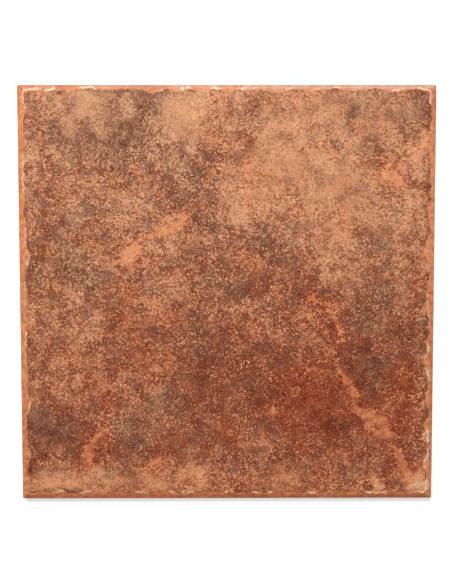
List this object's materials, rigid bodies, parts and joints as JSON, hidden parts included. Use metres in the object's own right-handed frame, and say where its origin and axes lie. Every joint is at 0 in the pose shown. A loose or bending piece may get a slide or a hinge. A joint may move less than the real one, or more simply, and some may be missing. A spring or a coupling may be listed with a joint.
{
  "type": "terracotta floor tile",
  "caption": "Square pressed floor tile with a raised, mottled terracotta face, a broken edge, a bare sloping rim and shallow square pockets in its back to key into the adhesive.",
  "frame": {"origin": "middle of the back, on the plane of its ribs", "axes": "+Z out of the face, +X and +Y along the sides, with the sides named front (-Y), right (+X), back (+Y) and left (-X)"},
  "size_m": [0.333, 0.333, 0.0085],
  "materials": {
    "fired_clay": "matt, mottled taupe, umber and buff over orange clay"
  },
  "bodies": {
    "root": {"floor_tile": "fired_clay"}
  },
  "joints": []
}
